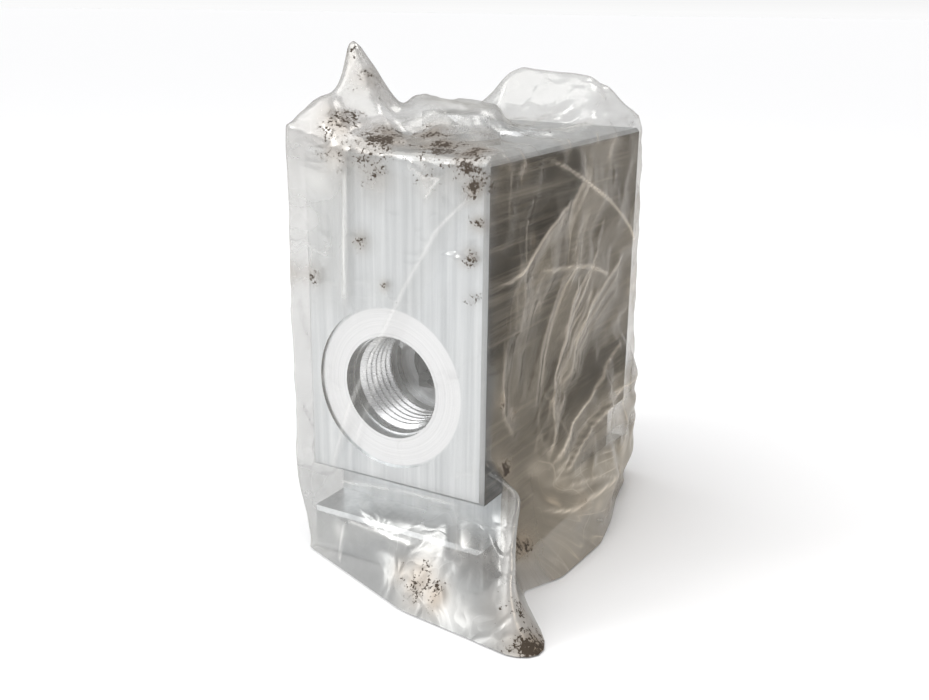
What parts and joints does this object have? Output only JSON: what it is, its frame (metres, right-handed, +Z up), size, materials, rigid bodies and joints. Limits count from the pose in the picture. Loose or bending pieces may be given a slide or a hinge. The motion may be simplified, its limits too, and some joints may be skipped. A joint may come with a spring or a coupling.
{
  "type": "hydraulic valve block",
  "caption": "Machined aluminium hydraulic valve block with threaded ports, a slotted foot, cartridge plugs and a clear film bag.",
  "frame": {"origin": "middle of the block's base face", "axes": "+Z up through the foot, -Y out of the inlet port, +Y out of the outlet port, -X out of the tank port"},
  "size_m": [0.0626, 0.0953, 0.1062],
  "materials": {
    "block_aluminium": "brushed along each face",
    "hardened_steel": "ground",
    "zinc_plated_steel": "bright zinc plate",
    "spring_wire": "drawn wire",
    "black_screw": "black oxide",
    "brass": "turned",
    "bonded_seal": "passivated steel ring",
    "seal_rubber": "nitrile rubber",
    "clear_film": "creased clear polythene with specks of dirt"
  },
  "bodies": {
    "block": {"valve_body": "block_aluminium", "spool_spring": "spring_wire", "lock_screw": "black_screw", "adjuster_plug": "zinc_plated_steel", "adjuster_plug_seal": "bonded_seal", "check_seat": "hardened_steel", "check_seat_oring": "seal_rubber", "check_spring": "spring_wire", "check_plug": "zinc_plated_steel", "check_plug_oring": "seal_rubber", "gauge_plug": "zinc_plated_steel", "gauge_plug_seal": "bonded_seal", "gallery_balls": "hardened_steel"},
    "spool": {"spool": "hardened_steel", "damping_orifice": "brass", "orifice_screen": "zinc_plated_steel"},
    "check_poppet": {"check_poppet": "hardened_steel"},
    "adjuster_seat": {"spring_seat": "hardened_steel", "spring_seat_oring": "seal_rubber"},
    "adjuster_screw": {"adjuster_screw": "black_screw"},
    "bag": {"protective_bag": "clear_film"}
  },
  "joints": [
    {"name": "spool_lift", "type": "slide", "parent": "block", "child": "spool", "axis": [0, 0, 1], "range_m": [0, 0.006], "stiffness_N_per_m": 3000, "springref_m": -0.005, "deforming": ["spool_spring"]},
    {"name": "check_lift", "type": "slide", "parent": "block", "child": "check_poppet", "axis": [0, 0, 1], "range_m": [0, 0.004], "stiffness_N_per_m": 500, "springref_m": -0.006, "deforming": ["check_spring"]},
    {"name": "seat_push", "type": "slide", "parent": "block", "child": "adjuster_seat", "axis": [0, 0, -1], "range_m": [0, 0.002], "deforming": ["spool_spring"]},
    {"name": "adjuster_turn", "type": "hinge", "parent": "adjuster_seat", "child": "adjuster_screw", "pos_m": [-0.001, -0.0115, 0.0852], "axis": [0, 0, -1], "range_deg": [0, 720]},
    {"name": "bag_pull", "type": "slide", "parent": "block", "child": "bag", "axis": [0, 0, 1], "range_m": [0, 0.115]}
  ],
  "couplings": [
    {"joint": "adjuster_turn", "follows": "seat_push", "rad_per_m": 6283}
  ]
}
